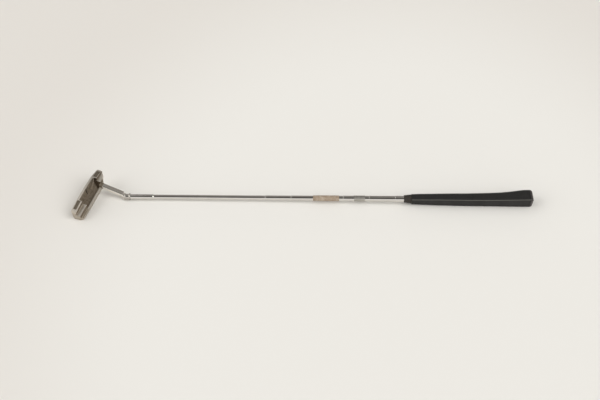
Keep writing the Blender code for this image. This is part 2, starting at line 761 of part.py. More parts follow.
made = [(build_head(), STEEL), (build_neck(), STEEL), (build_collar(), STEEL), (build_shaft(), STEEL)]
made += [(weight, WEIGHT_METAL) for weight in build_weights()]
made += [(band, PAPER) for band in build_bands() + [build_tape()]]
made += [(piece, RUBBER) for piece in (build_mouth(), build_grip(), build_cap())]
tell("size, mm", lay_down(made))
tell("shaft frame's origin, mm", shaft_frame.matrix_world.translation)
tell("butt, mm", shaft_frame.matrix_world @ Vector((0, 0, BUTT)))
tell("back of the head, as a direction", head_frame.matrix_world.to_3x3() @ Vector((0, -1, 0)), 1)
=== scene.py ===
# %% [markdown]
# A golf putter that lies on its face on a pale table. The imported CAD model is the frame: every
# piece below is made in the same metres and takes the place of one of its nodes, or repaints it.
# The club is modelled as it stands at address, where its sizes are easy to think in, and each
# finished piece is then moved to where the club lies.

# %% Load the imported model
import json
import math

import bmesh
import bpy
from mathutils import Matrix, Vector


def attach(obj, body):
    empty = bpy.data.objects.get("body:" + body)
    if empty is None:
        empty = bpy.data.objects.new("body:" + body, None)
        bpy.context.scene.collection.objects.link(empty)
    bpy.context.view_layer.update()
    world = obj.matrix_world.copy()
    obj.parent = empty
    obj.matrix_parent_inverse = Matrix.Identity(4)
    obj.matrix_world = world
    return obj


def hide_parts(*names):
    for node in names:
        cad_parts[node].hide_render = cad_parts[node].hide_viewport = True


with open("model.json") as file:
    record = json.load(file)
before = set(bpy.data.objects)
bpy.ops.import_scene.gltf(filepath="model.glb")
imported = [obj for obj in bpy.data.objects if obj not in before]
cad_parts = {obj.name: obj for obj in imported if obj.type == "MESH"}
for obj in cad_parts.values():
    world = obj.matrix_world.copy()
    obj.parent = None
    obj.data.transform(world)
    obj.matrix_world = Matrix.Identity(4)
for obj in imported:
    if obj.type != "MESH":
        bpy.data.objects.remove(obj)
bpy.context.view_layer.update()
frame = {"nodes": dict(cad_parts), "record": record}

# %% [markdown]
# These are the real sizes of the club, in metres. They are the same as in the CAD, so that a new
# piece fills the same space as the solid that it stands for.

# %% Sizes of the head
LIE = math.radians(71)
LOFT = math.radians(3)
GAP = 0.0003
CUT = 0.004
TOE_X, HEEL_X = 0.0850, 0.0283
FACE_HEIGHT = 0.0260
TOE_CAMBER, HEEL_CAMBER = 0.0012, 0.0028
SOLE_RELIEF = math.radians(4)
HEEL_DEPTH, MIDDLE_DEPTH, TOE_DEPTH = 0.0168, 0.0245, 0.0203
HEEL_SHOULDER_X, HEEL_SHOULDER, HEEL_TOP = 0.0140, 0.0196, 0.0118
TOE_TOP_RADIUS, TOE_SOLE_RADIUS, HEEL_RADIUS = 0.0090, 0.0070, 0.0045
HEEL_CORNER_RADIUS, TOE_CORNER_RADIUS = 0.0045, 0.0075
TOPLINE, FLANGE = 0.0065, 0.0060
LOW_STEP, HIGH_STEP, HIGH_STEP_DEPTH = 0.0132, 0.0217, 0.0155
CAVITY_HEEL_X, CAVITY_HEEL_SLANT, CAVITY_HEEL_RADIUS = 0.0040, 0.0105, 0.0065
CAVITY_TOE_X, CAVITY_TOE_SLANT, CAVITY_TOE_RADIUS = 0.0545, 0.0020, 0.0020
CAVITY_FILLET = 0.0015
CAVITY_EXTRA, CAVITY_SLOPE_LOW, CAVITY_SLOPE_TOP = 0.0020, 0.0183, 0.0208
SIGHT_X, SIGHT_WIDTH, SIGHT_DEPTH, SIGHT_MARGIN = 0.0275, 0.0016, 0.0006, 0.0006
POCKET_RIM, HEEL_POCKET_RIM = 0.0014, 0.0032
POCKET_HEIGHT, POCKET_DEPTH, POCKET_RADIUS = 0.0068, 0.0065, 0.0011
TOE_POCKET_LENGTH, HEEL_POCKET_LENGTH = 0.0195, 0.0158
HEAD_MIDDLE = (TOE_X - HEEL_X) / 2
HEAD_HALF = (TOE_X + HEEL_X) / 2

# %% Sizes of the neck, the collar, the shaft and the grip
NECK_SIZE, NECK_ROUND, NECK_RISE = 0.0100, 0.0026, 0.0523
NECK_SETBACK, NECK_HEELWARD, NECK_AIM, SHAFT_FORWARD = 0.0056, 0.0008, 0.0040, 0.0055
BOSS_RISE, BOSS_SINK, HEEL_SLOPE_X = 0.0012, 0.0010, 0.0052
SPIGOT_RADIUS, SPIGOT_LENGTH = 0.0027, 0.0140
COLLAR_LOW, COLLAR_LENGTH, COLLAR_RADIUS = -0.0052, 0.0118, 0.0070
BEAD_LENGTH, BEAD_HEIGHT = 0.0026, 0.0009
TIP_RADIUS, TIP_LENGTH, TIP_TAPER = 0.00545, 0.0445, 0.0030
SHAFT_RADIUS, SHAFT_WALL = 0.0047, 0.0007
STEP_START, STEP_PITCH, STEP_RISE, STEP_COUNT, STEP_TAPER = 0.2712, 0.0518, 0.00029, 9, 0.0012
FOIL_LENGTH, FOIL_BELOW_GRIP, PAPER_LENGTH, PAPER_BELOW_FOIL = 0.0220, 0.0772, 0.0520, 0.0295
CLUB_LENGTH, GRIP_LENGTH, CAP_LENGTH = 0.8910, 0.2550, 0.0050
MOUTH_LENGTH, MOUTH_RADIUS, MOUTH_BODY_RADIUS = 0.0150, 0.0073, 0.0088
POST_LENGTH = 0.0300
SHAFT_LEAN = math.radians(90) - LIE
SHAFT_POINT = Vector((0, SHAFT_FORWARD, FACE_HEIGHT + NECK_RISE))
SHAFT_WAY = Vector((-math.sin(SHAFT_LEAN), 0, math.cos(SHAFT_LEAN)))
NECK_FOOT = Vector((-NECK_HEELWARD, -NECK_SETBACK, FACE_HEIGHT + BOSS_RISE + GAP))
COLLAR_TOP = COLLAR_LOW + COLLAR_LENGTH
SHAFT_LOW = COLLAR_TOP + GAP
BUTT = CLUB_LENGTH - SHAFT_POINT.z / math.cos(SHAFT_LEAN)
GRIP_LOW = BUTT - GRIP_LENGTH
CAP_LOW = BUTT - CAP_LENGTH
FOIL_LOW = GRIP_LOW - FOIL_BELOW_GRIP - FOIL_LENGTH
PAPER_LOW = FOIL_LOW - PAPER_BELOW_FOIL - PAPER_LENGTH

# %% [markdown]
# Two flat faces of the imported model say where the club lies: the striking face and the end of
# the butt. Each gives a point and a direction. The two directions fix how the club is turned,
# and the point on the face fixes where it is.

# %% Where the club lies
mounts = {mount["name"]: mount for mount in frame["record"]["mounts"]}
face, butt = mounts["striking_face"], mounts["butt_face"]


def two_way_turn(first, second):
    """A turn whose first axis is one direction and whose plane holds another."""
    side = first.cross(second).normalized()
    return Matrix((first, side.cross(first), side)).transposed()


standing = two_way_turn(SHAFT_WAY, Vector((0, math.cos(LOFT), math.sin(LOFT))))
lying = two_way_turn(Vector(butt["axis"]).normalized(), Vector(face["axis"]))
turn = lying @ standing.transposed()
face_point = Vector((HEAD_MIDDLE, -FACE_HEIGHT / 2 * math.tan(LOFT), FACE_HEIGHT / 2))
HEAD_PLACE = Matrix.Translation(Vector(face["pos_m"]) - turn @ face_point) @ turn.to_4x4()
SHAFT_FRAME = Matrix.Translation(SHAFT_POINT) @ Matrix.Rotation(-SHAFT_LEAN, 4, "Y")
SHAFT_PLACE = HEAD_PLACE @ SHAFT_FRAME
print("shaft's origin", [round(value, 5) for value in SHAFT_PLACE.translation])

# %% [markdown]
# Helpers for modelling as by hand. A tool acts on everything that is selected, and loading the
# model leaves its pieces selected, so each helper clears the selection first. Faces and edges
# are picked by where they are.

# %% Selecting
def deselect():
    if bpy.context.object and bpy.context.object.mode == "EDIT":
        bpy.ops.object.mode_set(mode="OBJECT")
    bpy.ops.object.select_all(action="DESELECT")


def activate(piece):
    deselect()
    piece.select_set(True)
    bpy.context.view_layer.objects.active = piece


def edit(piece):
    activate(piece)
    bpy.ops.object.mode_set(mode="EDIT")


def select(kind, test):
    """In edit mode, selects the vertices, edges or faces that pass a test."""
    bpy.ops.mesh.select_mode(type=kind)
    bpy.ops.mesh.select_all(action="DESELECT")
    mesh = bmesh.from_edit_mesh(bpy.context.object.data)
    items = {"VERT": mesh.verts, "EDGE": mesh.edges, "FACE": mesh.faces}[kind]
    chosen = [item for item in items if test(item)]
    for item in chosen:
        item.select_set(True)
    bmesh.update_edit_mesh(bpy.context.object.data)
    return len(chosen)


def finish_edit():
    """Turns every face outward and leaves edit mode."""
    bpy.ops.mesh.select_all(action="SELECT")
    bpy.ops.mesh.normals_make_consistent(inside=False)
    bpy.ops.object.mode_set(mode="OBJECT")


# %% [markdown]
# Most shapes here start from an outline. It is drawn as with a pen, one vertex extruded from
# point to point, and then either filled and pushed to a thickness or spun round an axis.

# %% Drawing, pushing and turning
ARC_STEPS = 10
TURN_STEPS = 64
TINY = 0.000002
SEED_SIZE = 0.001


def drawn(name, points):
    """A closed line through points, left in edit mode with all of it selected."""
    deselect()
    bpy.ops.mesh.primitive_plane_add(size=SEED_SIZE)
    line = bpy.context.object
    line.name = name
    bpy.ops.object.mode_set(mode="EDIT")
    bpy.ops.mesh.select_mode(type="VERT")
    bpy.ops.mesh.select_all(action="SELECT")
    bpy.ops.mesh.merge(type="CENTER")
    bpy.ops.transform.translate(value=points[0])
    for start, end in zip(points, points[1:] + points[:1]):
        bpy.ops.mesh.extrude_vertices_move(TRANSFORM_OT_translate={"value": end - start})
    bpy.ops.mesh.select_all(action="SELECT")
    bpy.ops.mesh.remove_doubles(threshold=TINY)
    return line


def pushed(name, points, push):
    """A closed outline, filled and given a thickness."""
    piece = drawn(name, points)
    bpy.ops.mesh.edge_face_add()
    bpy.ops.mesh.extrude_region_move(TRANSFORM_OT_translate={"value": push})
    finish_edit()
    return piece


def turned(name, profile, angle=math.tau, steps=TURN_STEPS):
    """A closed outline of (radius, height) points, spun round the shaft's axis."""
    points = [Vector((radius, 0, height)) for radius, height in profile]
    piece = drawn(name, points)
    bpy.ops.mesh.spin(steps=steps, angle=angle, center=(0, 0, 0), axis=(0, 0, 1))
    bpy.ops.mesh.select_all(action="SELECT")
    bpy.ops.mesh.remove_doubles(threshold=TINY)
    finish_edit()
    return piece


def rounded(corners):
    """The points of a closed outline. Each corner is (x, y, radius), and radius 0 is sharp."""
    points = []
    for index, (x, y, radius) in enumerate(corners):
        corner = Vector((x, y))
        if radius == 0:
            points.append(corner)
            continue
        back = (Vector(corners[index - 1][:2]) - corner).normalized()
        ahead = (Vector(corners[(index + 1) % len(corners)][:2]) - corner).normalized()
        half_angle = back.angle(ahead) / 2
        centre = corner + (back + ahead).normalized() * radius / math.sin(half_angle)
        start = corner + back * radius / math.tan(half_angle) - centre
        end = corner + ahead * radius / math.tan(half_angle) - centre
        for step in range(ARC_STEPS + 1):
            swing = start.angle_signed(end) * step / ARC_STEPS
            points.append(centre + Matrix.Rotation(-swing, 2) @ start)
    return points


# %% Cutting, placing and finishing
def combine(piece, tool, operation="DIFFERENCE"):
    """Cuts with a tool or joins it on. The new faces keep the tool's material."""
    activate(piece)
    step = piece.modifiers.new("combine", "BOOLEAN")
    step.operation = operation
    step.object = tool
    step.solver = "EXACT"
    step.material_mode = "TRANSFER"
    bpy.ops.object.modifier_apply(modifier=step.name)
    print(operation.lower(), tool.name, "leaves", len(piece.data.polygons), "faces")
    bpy.data.objects.remove(tool)


def block(name, low, high, place=Matrix.Identity(4)):
    deselect()
    low, high = Vector(low), Vector(high)
    bpy.ops.mesh.primitive_cube_add(size=1, location=(low + high) / 2, scale=high - low)
    made = bpy.context.object
    made.name = name
    bpy.ops.object.transform_apply(location=True, rotation=True, scale=True)
    made.matrix_world = place
    return made


def bar(name, start, end, radius):
    """A round bar between two points."""
    deselect()
    way = end - start
    bpy.ops.mesh.primitive_cylinder_add(vertices=TURN_STEPS, radius=radius, depth=way.length,
                                        location=(start + end) / 2,
                                        rotation=way.to_track_quat("Z", "Y").to_euler())
    made = bpy.context.object
    made.name = name
    return made


def finish(piece, main, other, test):
    """Gives a piece one finish, and another one to the faces that pass a test."""
    piece.data.materials.clear()
    piece.data.materials.append(main)
    piece.data.materials.append(other)
    for face in piece.data.polygons:
        face.material_index = int(test(face))


def square_bar(name, start, way, length):
    """A square bar with rounded edges, from a start along a way, left in edit mode."""
    deselect()
    bpy.ops.mesh.primitive_plane_add(size=NECK_SIZE, location=start,
                                     rotation=way.to_track_quat("Z", "Y").to_euler())
    made = bpy.context.object
    made.name = name
    bpy.ops.object.transform_apply(location=True, rotation=True, scale=True)
    edit(made)
    bpy.ops.mesh.select_all(action="SELECT")
    bpy.ops.mesh.bevel(offset=NECK_ROUND, segments=8, affect="VERTICES")
    bpy.ops.mesh.select_all(action="SELECT")
    bpy.ops.mesh.extrude_region_move(TRANSFORM_OT_translate={"value": way * length})
    return made


def settle(piece, place):
    """Moves a piece to where the club lies and puts that place in its mesh."""
    piece.matrix_world = place @ piece.matrix_world
    activate(piece)
    bpy.ops.object.transform_apply(location=True, rotation=True, scale=True)


def soften(piece, width, segments=3, angle=35):
    """Rounds the sharp edges a little, as every real edge is, and shades the rest smooth."""
    activate(piece)
    step = piece.modifiers.new("soft_edges", "BEVEL")
    step.width = width
    step.segments = segments
    step.limit_method = "ANGLE"
    step.angle_limit = math.radians(angle)
    step.use_clamp_overlap = False
    bpy.ops.object.modifier_apply(modifier=step.name)
    shade(piece)


def shade(piece, angle=40):
    activate(piece)
    bpy.ops.object.shade_smooth_by_angle(angle=math.radians(angle))
    step = piece.modifiers.new("even_shading", "WEIGHTED_NORMAL")
    step.keep_sharp = True
    bpy.ops.object.modifier_apply(modifier=step.name)


def stands_for(piece, node):
    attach(piece, "root")
    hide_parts(node)
    print(piece.name, "faces", len(piece.data.polygons))


# %% [markdown]
# Materials. A metal's colour is the tint of what it mirrors, and its roughness says how blurred
# that mirror is. The satin parts of a cast head are belt-finished and then lightly blasted: the
# eye sees a soft warm grey sheen with no clear picture in it. Colours are written as sRGB hex
# values, as a paint program shows them, and turned to the linear values that light adds up in.

# %% Colours and nodes
def linear(code):
    shares = [int(code[place:place + 2], 16) / 255 for place in (1, 3, 5)]
    return (*[share / 12.92 if share <= 0.04045 else ((share + 0.055) / 1.055) ** 2.4
              for share in shares], 1)


def output(source):
    """A socket as it is, or the first output that a node has in use."""
    if isinstance(source, bpy.types.NodeSocket):
        return source
    return next(socket for socket in source.outputs if socket.enabled)


def add(look, kind, sockets, **settings):
    """Adds a node to a material or world, with its settings, values and links."""
    made = look.node_tree.nodes.new("ShaderNode" + kind)
    for name, value in settings.items():
        setattr(made, name, value)
    for name, value in sockets.items():
        if isinstance(value, (bpy.types.Node, bpy.types.NodeSocket)):
            look.node_tree.links.new(output(value), made.inputs[name])
        else:
            made.inputs[name].default_value = value
    return made


def new_look(name):
    """A material, its shader and the Object coordinates that its patterns are laid out in."""
    look = bpy.data.materials.new(name)
    look.use_nodes = True
    shader = look.node_tree.nodes["Principled BSDF"]
    place = add(look, "TexCoord", {}).outputs["Object"]
    return look, shader, place


def share_along(look, vector, way, low, high):
    """0 to 1 as a vector's reach along a way goes from low to high."""
    reached = add(look, "VectorMath", {0: vector, 1: way}, operation="DOT_PRODUCT")
    return add(look, "MapRange", {"Value": reached, "From Min": low, "From Max": high})


def connect(look, shader, **sockets):
    for name, source in sockets.items():
        look.node_tree.links.new(output(source), shader.inputs[name.replace("_", " ")])


# %% [markdown]
# Satin cast stainless steel. Broad, faint clouds of tone come from hand polishing, and a fine
# grain from the blasting. Real blasting grit leaves dimples of about 0.1 mm, which no picture of
# a whole club shows, so the grain is drawn at 0.6 mm. The planes that face straight back are
# painted lighter: a painted highlight for the bright light above them as the club lies.

# %% Satin cast steel
satin_steel, shader, place = new_look("satin_cast_stainless_steel")
shader.inputs["Metallic"].default_value = 1
clouds = add(satin_steel, "TexNoise", {"Vector": place, "Scale": 70, "Detail": 4, "Roughness": 0.6})
tone = add(satin_steel, "Mix", {0: clouds, 6: linear("#A69D90"), 7: linear("#BDB5A9")},
           data_type="RGBA")
outward = add(satin_steel, "NewGeometry", {}).outputs["Normal"]
# Painted highlight: the planes that face straight back get the lighter colour #C9C2B7.
wear_and_painted_sheen = share_along(satin_steel, outward, HEAD_PLACE.to_3x3() @ Vector((0, -1, 0)), 0.85, 0.97)
tone = add(satin_steel, "Mix", {0: wear_and_painted_sheen, 6: tone, 7: linear("#C9C2B7")}, data_type="RGBA")
grain = add(satin_steel, "TexNoise",
            {"Vector": place, "Scale": 1600, "Detail": 3, "Roughness": 0.7})
sheen = add(satin_steel, "MapRange", {"Value": grain, "To Min": 0.30, "To Max": 0.46})
dents = add(satin_steel, "Bump", {"Height": grain, "Strength": 0.22, "Distance": 0.0002})
connect(satin_steel, shader, Base_Color=tone, Roughness=sheen, Normal=dents)

# %% [markdown]
# The cavity isn't polished. It keeps the blasted skin of the casting, which is rougher, darker
# and a little brown, with stains that never get rubbed off in a hollow. The narrow steps of the
# bumpers and the boss get a copy of that skin that is painted darker still, as painted shade.
# Painted shade also lies in the inner fillet, which is drawn by the way the surface faces, and in
# the corner of the heel wall, where it is nearly black and is cut off by a slanting line.

# %% Blasted cavity
PAINTED_SHADE_WAY = HEAD_PLACE.to_3x3() @ Vector((0, -0.81, 0.59)).normalized()
PAINTED_SHADE_SPREAD, PAINTED_SHADE_FADE = 0.0012, 0.0020
PAINTED_SHADE_START = PAINTED_SHADE_WAY.dot(HEAD_PLACE @ Vector((0, -HEEL_DEPTH, FLANGE))) - PAINTED_SHADE_SPREAD
FILLET_WAY = HEAD_PLACE.to_3x3() @ Vector((0, -1, 1)).normalized()


# Painted shade: a nearly black corner on the heel wall, cut off by a slanting line.
def heel_corner(look, place):
    return share_along(look, place, PAINTED_SHADE_WAY, PAINTED_SHADE_START - PAINTED_SHADE_FADE, PAINTED_SHADE_START)


# Painted shade in the inner fillet, found by the way the surface faces.
def inner_fillet(look, place):
    outward = add(look, "NewGeometry", {}).outputs["Normal"]
    return share_along(look, outward, FILLET_WAY, 0.78, 0.92)


def blasted(name, dark, light, painted_shade_tones=None, painted_shade_mask=None):
    look, shader, place = new_look(name)
    shader.inputs["Metallic"].default_value = 1
    stains = add(look, "TexNoise", {"Vector": place, "Scale": 260, "Detail": 5, "Roughness": 0.65})
    contrast = add(look, "MapRange", {"Value": stains, "From Min": 0.35, "From Max": 0.65})
    tone = add(look, "Mix", {0: contrast, 6: linear(dark), 7: linear(light)}, data_type="RGBA")
    # A darker tone is laid over the stains where the mask says: painted shade.
    if painted_shade_tones:
        painted_shade_tone = add(look, "Mix", {0: contrast, 6: linear(painted_shade_tones[0]), 7: linear(painted_shade_tones[1])},
                        data_type="RGBA")
        tone = add(look, "Mix", {0: painted_shade_mask(look, place), 6: tone, 7: painted_shade_tone}, data_type="RGBA")
    grit = add(look, "TexNoise", {"Vector": place, "Scale": 1400, "Detail": 4, "Roughness": 0.75})
    dents = add(look, "Bump", {"Height": grit, "Strength": 0.45, "Distance": 0.0003})
    sheen = add(look, "MapRange", {"Value": grit, "To Min": 0.50, "To Max": 0.68})
    connect(look, shader, Base_Color=tone, Roughness=sheen, Normal=dents)
    return look


cavity_steel = blasted("blasted_cavity_stainless_steel", "#82786A", "#A89E90",
                       ("#665D50", "#857B6D"), inner_fillet)
# A darker copy of the blasted skin for the step ledges and the boss: the extra darkness is painted
# shade.
painted_shade_step_steel = blasted("step_steel_with_painted_shade", "#71675A", "#8A7F70")
painted_shade_heel_steel = blasted("cavity_end_steel_with_painted_shade", "#82786A", "#A89E90",
                        ("#3A3025", "#594D3F"), heel_corner)

# %% [markdown]
# The neck is ground along its length on a belt. The scratches are drawn as noise that is
# stretched 12 times along the bar, with lines about 0.5 mm apart. The side towards the toe is
# painted lighter: a painted reflection of the bright table that it mirrors.

# %% Belt-ground neck
neck_steel, shader, place = new_look("belt_ground_stainless_steel")
shader.inputs["Metallic"].default_value = 1
along = add(neck_steel, "Mapping",
            {"Vector": place, "Rotation": (0, 0, math.radians(18)), "Scale": (0.08, 1, 1)})
lines = add(neck_steel, "TexNoise", {"Vector": along, "Scale": 1900, "Detail": 2})
clouds = add(neck_steel, "TexNoise", {"Vector": place, "Scale": 90, "Detail": 3})
tone = add(neck_steel, "Mix", {0: clouds, 6: linear("#CAC4BC"), 7: linear("#DAD5CE")},
           data_type="RGBA")
outward = add(neck_steel, "NewGeometry", {}).outputs["Normal"]
# Painted reflection: the side towards the toe gets the lighter colour #F4F0E9.
painted_bright_side = share_along(neck_steel, outward, HEAD_PLACE.to_3x3() @ Vector((1, 0, 0)), 0.6, 0.9)
tone = add(neck_steel, "Mix", {0: painted_bright_side, 6: tone, 7: linear("#F4F0E9")}, data_type="RGBA")
sheen = add(neck_steel, "MapRange", {"Value": lines, "To Min": 0.15, "To Max": 0.28})
dents = add(neck_steel, "Bump", {"Height": lines, "Strength": 0.12, "Distance": 0.0001})
connect(neck_steel, shader, Base_Color=tone, Roughness=sheen, Normal=dents)

# %% [markdown]
# The collar was turned on a lathe, so its tool marks run round it: fine rings 0.4 mm apart along
# the shaft, which lies along X. Handling has dulled it in patches.

# %% Turned collar
collar_steel, shader, place = new_look("turned_stainless_steel")
shader.inputs["Metallic"].default_value = 1
rings = add(collar_steel, "TexWave",
            {"Vector": place, "Scale": 400, "Distortion": 0.4, "Detail": 1},
            wave_type="BANDS", bands_direction="X").outputs["Fac"]
patches = add(collar_steel, "TexNoise", {"Vector": place, "Scale": 320, "Detail": 3})
tone = add(collar_steel, "Mix", {0: patches, 6: linear("#AFA9A1"), 7: linear("#CBC7C1")},
           data_type="RGBA")
sheen = add(collar_steel, "MapRange", {"Value": patches, "To Min": 0.12, "To Max": 0.30})
dents = add(collar_steel, "Bump", {"Height": rings, "Strength": 0.08, "Distance": 0.0001})
connect(collar_steel, shader, Base_Color=tone, Roughness=sheen, Normal=dents)

# %% [markdown]
# Bright chrome plate over nickel on the shaft. It mirrors the room almost cleanly: a dark band
# for the dark side of the room, a bright one for the table. Faint smears from hands and fine
# marks along the tube keep it from looking like new glass.

# %% Chromed shaft
chrome, shader, place = new_look("bright_chrome_plate")
shader.inputs["Metallic"].default_value = 1
along = add(chrome, "Mapping", {"Vector": place, "Scale": (0.05, 1, 1)})
marks = add(chrome, "TexNoise", {"Vector": along, "Scale": 1500, "Detail": 2})
smears = add(chrome, "TexNoise", {"Vector": place, "Scale": 45, "Detail": 4, "Roughness": 0.6})
tone = add(chrome, "Mix", {0: smears, 6: linear("#CFCBC6"), 7: linear("#E0DDD9")},
           data_type="RGBA")
sheen = add(chrome, "MapRange", {"Value": smears, "From Min": 0.3, "From Max": 0.7,
                                 "To Min": 0.05, "To Max": 0.16})
dents = add(chrome, "Bump", {"Height": marks, "Strength": 0.03, "Distance": 0.0001})
connect(chrome, shader, Base_Color=tone, Roughness=sheen, Normal=dents)

# %% [markdown]
# Two labels go round the shaft. One is tan paper with a rubbed varnish: fibres about 1 mm long
# and worn, paler spots. The other is silver foil on a paper back, slightly crinkled.

# %% Tan paper
tan_paper, shader, place = new_look("varnished_tan_paper")
fibres = add(tan_paper, "TexNoise", {"Vector": place, "Scale": 900, "Detail": 5, "Roughness": 0.7})
wear_and_painted_sheen = add(tan_paper, "TexNoise", {"Vector": place, "Scale": 130, "Detail": 4, "Roughness": 0.6})
# On the paper this mask is real wear: worn, paler spots.
worn = add(tan_paper, "MapRange", {"Value": wear_and_painted_sheen, "From Min": 0.45, "From Max": 0.7})
fibre_tone = add(tan_paper, "Mix", {0: fibres, 6: linear("#887663"), 7: linear("#A18F7C")},
                 data_type="RGBA")
tone = add(tan_paper, "Mix", {0: worn, 6: fibre_tone, 7: linear("#B3A594")}, data_type="RGBA")
sheen = add(tan_paper, "MapRange", {"Value": wear_and_painted_sheen, "To Min": 0.38, "To Max": 0.62})
dents = add(tan_paper, "Bump", {"Height": fibres, "Strength": 0.18, "Distance": 0.0001})
connect(tan_paper, shader, Base_Color=tone, Roughness=sheen, Normal=dents)

# %% Silver foil
foil, shader, place = new_look("silver_label_foil")
shader.inputs["Metallic"].default_value = 1
creases = add(foil, "TexVoronoi", {"Vector": place, "Scale": 420}, feature="DISTANCE_TO_EDGE")
haze = add(foil, "TexNoise", {"Vector": place, "Scale": 240, "Detail": 4})
tone = add(foil, "Mix", {0: haze, 6: linear("#A09C94"), 7: linear("#C2BFB9")}, data_type="RGBA")
sheen = add(foil, "MapRange", {"Value": haze, "To Min": 0.26, "To Max": 0.44})
dents = add(foil, "Bump", {"Height": creases, "Strength": 0.12, "Distance": 0.0002})
connect(foil, shader, Base_Color=tone, Roughness=sheen, Normal=dents)

# %% [markdown]
# The grip is black moulded rubber. New rubber is an even satin, and hands turn it patchy: shiny
# where it is held and grey where dust sits in the grain. The grain of a real grip is about
# 0.3 mm and is drawn at 0.8 mm. The mouth is a thinner, browner, more weathered piece, and the
# cap is a smoother, slightly warm black. Along the corner between the flat front and the back
# side a thin grey line is painted, as a painted highlight of the light that the corner catches.
# It is drawn where the surface faces the way of that corner.

# %% Rubber of the grip
grip_rubber, shader, place = new_look("moulded_black_rubber")
grain = add(grip_rubber, "TexVoronoi", {"Vector": place, "Scale": 1200}, feature="SMOOTH_F1")
hands = add(grip_rubber, "TexNoise", {"Vector": place, "Scale": 38, "Detail": 4, "Roughness": 0.6})
dust = add(grip_rubber, "TexNoise", {"Vector": place, "Scale": 500, "Detail": 5, "Roughness": 0.75})
dusty = add(grip_rubber, "MapRange", {"Value": dust, "From Min": 0.5, "From Max": 0.8})
held = add(grip_rubber, "Mix", {0: hands, 6: linear("#131312"), 7: linear("#1C1B1A")},
           data_type="RGBA")
tone = add(grip_rubber, "Mix", {0: dusty, 6: held, 7: linear("#32312E")}, data_type="RGBA")
sheen = add(grip_rubber, "MapRange", {"Value": hands, "From Min": 0.3, "From Max": 0.7,
                                      "To Min": 0.46, "To Max": 0.66})
shader.inputs["Specular IOR Level"].default_value = 0.35
outward = add(grip_rubber, "NewGeometry", {}).outputs["Normal"]
# Painted highlight: a thin grey line #6B6A63 where the surface faces the corner's way.
corner_way = (SHAFT_PLACE.to_3x3() @ Vector((1, -1, 0))).normalized()
turned_to = add(grip_rubber, "VectorMath", {0: outward, 1: corner_way}, operation="DOT_PRODUCT")
painted_corner_highlight = add(grip_rubber, "MapRange", {"Value": turned_to, "From Min": 0.955, "From Max": 0.998,
                                          "To Max": 0.75}, interpolation_type="SMOOTHSTEP")
tone = add(grip_rubber, "Mix", {0: painted_corner_highlight, 6: tone, 7: linear("#6B6A63")}, data_type="RGBA")
dents = add(grip_rubber, "Bump", {"Height": grain, "Strength": 0.35, "Distance": 0.0003})
connect(grip_rubber, shader, Base_Color=tone, Roughness=sheen, Normal=dents)

# %% Rubber of the mouth
mouth_rubber, shader, place = new_look("weathered_brown_black_rubber")
crust = add(mouth_rubber, "TexNoise",
            {"Vector": place, "Scale": 420, "Detail": 6, "Roughness": 0.75})
patch = add(mouth_rubber, "MapRange", {"Value": crust, "From Min": 0.38, "From Max": 0.62})
tone = add(mouth_rubber, "Mix", {0: patch, 6: linear("#161310"), 7: linear("#332B23")},
           data_type="RGBA")
dents = add(mouth_rubber, "Bump", {"Height": crust, "Strength": 0.5, "Distance": 0.0004})
shader.inputs["Roughness"].default_value = 0.7
connect(mouth_rubber, shader, Base_Color=tone, Normal=dents)

# %% Rubber of the cap
cap_rubber, shader, place = new_look("smooth_butt_cap_rubber")
scuffs = add(cap_rubber, "TexNoise",
             {"Vector": place, "Scale": 180, "Detail": 5, "Roughness": 0.65})
tone = add(cap_rubber, "Mix", {0: scuffs, 6: linear("#2A2524"), 7: linear("#3C3433")},
           data_type="RGBA")
sheen = add(cap_rubber, "MapRange", {"Value": scuffs, "To Min": 0.34, "To Max": 0.58})
dents = add(cap_rubber, "Bump", {"Height": scuffs, "Strength": 0.10, "Distance": 0.0002})
connect(cap_rubber, shader, Base_Color=tone, Roughness=sheen, Normal=dents)

# %% [markdown]
# The weights are painted a dark, dusty bronze, and the sight line is filled with black enamel
# that has gone dull in its slot. The tape inside the grip is masking paper.

# %% Weight paint
weight_paint, shader, place = new_look("dark_bronze_weight_paint")
dust = add(weight_paint, "TexNoise", {"Vector": place, "Scale": 380, "Detail": 5, "Roughness": 0.7})
tone = add(weight_paint, "Mix", {0: dust, 6: linear("#4C453A"), 7: linear("#786D5D")},
           data_type="RGBA")
sheen = add(weight_paint, "MapRange", {"Value": dust, "To Min": 0.35, "To Max": 0.55})
dents = add(weight_paint, "Bump", {"Height": dust, "Strength": 0.2, "Distance": 0.0002})
shader.inputs["Metallic"].default_value = 0.4
connect(weight_paint, shader, Base_Color=tone, Roughness=sheen, Normal=dents)

# %% Sight enamel
sight_enamel, shader, place = new_look("black_sight_enamel")
chips = add(sight_enamel, "TexNoise", {"Vector": place, "Scale": 800, "Detail": 4})
tone = add(sight_enamel, "Mix", {0: chips, 6: linear("#0B0A09"), 7: linear("#1D1A17")},
           data_type="RGBA")
shader.inputs["Roughness"].default_value = 0.5
shader.inputs["Specular IOR Level"].default_value = 0.2
connect(sight_enamel, shader, Base_Color=tone)

# %% Masking tape
masking_tape, shader, place = new_look("creped_masking_tape")
crepe = add(masking_tape, "TexWave",
            {"Vector": place, "Scale": 500, "Distortion": 3, "Detail": 2},
            wave_type="BANDS", bands_direction="X").outputs["Fac"]
tone = add(masking_tape, "Mix", {0: crepe, 6: linear("#B5A888"), 7: linear("#CDC2A6")},
           data_type="RGBA")
dents = add(masking_tape, "Bump", {"Height": crepe, "Strength": 0.2, "Distance": 0.0001})
shader.inputs["Roughness"].default_value = 0.75
connect(masking_tape, shader, Base_Color=tone, Normal=dents)
print("materials", len(bpy.data.materials))

